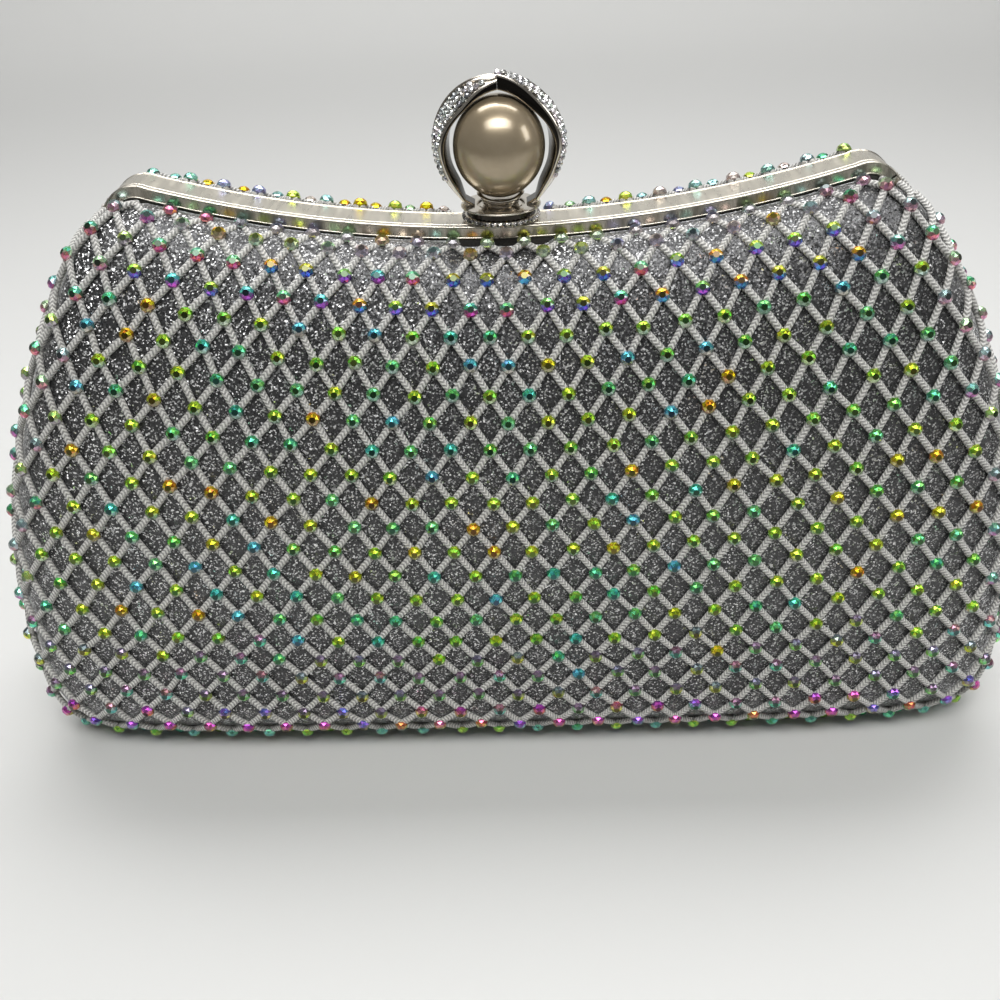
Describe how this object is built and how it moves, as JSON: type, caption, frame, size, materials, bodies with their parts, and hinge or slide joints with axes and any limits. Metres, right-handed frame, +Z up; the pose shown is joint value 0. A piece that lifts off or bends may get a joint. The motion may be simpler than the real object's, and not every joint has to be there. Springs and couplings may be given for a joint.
{
  "type": "clutch bag",
  "caption": "Rigid evening clutch: two pillowed, net-covered halves on polished frames, hinged along the base and held by a tilting ring clasp with a pearl.",
  "frame": {"origin": "middle of the base, on the surface that the bag stands on", "axes": "+X along the bag's width, -Y out of its front face, +Z up through the clasp"},
  "size_m": [0.212, 0.056, 0.1377],
  "materials": {
    "glitter_cloth": "charcoal glitter cloth under a light grey corded net set with iridescent rhinestones",
    "shell_board": "pressed fibre board, bare inside the skins",
    "satin_lining": "grey satin",
    "polished_nickel": "polished nickel plate",
    "hinge_steel": "plain plated steel",
    "pearl_coat": "champagne pearl lacquer"
  },
  "bodies": {
    "rear_half": {"rear_cover": "glitter_cloth", "rear_board": "shell_board", "rear_lining": "satin_lining", "slip_pocket": "satin_lining", "rear_frame": "polished_nickel", "rear_hinge_leaf": "hinge_steel", "hinge_pin": "hinge_steel", "clasp_lug_left": "polished_nickel", "clasp_lug_right": "polished_nickel", "clasp_pin": "hinge_steel", "clasp_spring": "hinge_steel"},
    "front_half": {"front_cover": "glitter_cloth", "front_board": "shell_board", "front_lining": "satin_lining", "front_frame": "polished_nickel", "front_hinge_leaf": "hinge_steel", "catch_plate": "polished_nickel"},
    "clasp": {"clasp_drum": "polished_nickel", "latch_tongue": "polished_nickel", "left_band": "polished_nickel", "right_band": "polished_nickel", "pearl": "pearl_coat", "pearl_cup": "polished_nickel", "pearl_post": "polished_nickel"}
  },
  "joints": [
    {"name": "front_half_hinge", "type": "hinge", "parent": "rear_half", "child": "front_half", "pos_m": [0, -0.003, 0.0014], "axis": [1, 0, 0], "range_deg": [0, 70]},
    {"name": "clasp_tilt", "type": "hinge", "parent": "rear_half", "child": "clasp", "pos_m": [0, 0.0064, 0.1101], "axis": [-1, 0, 0], "range_deg": [0, 15], "stiffness_Nm_per_rad": 0.05, "springref_deg": -22.92}
  ]
}
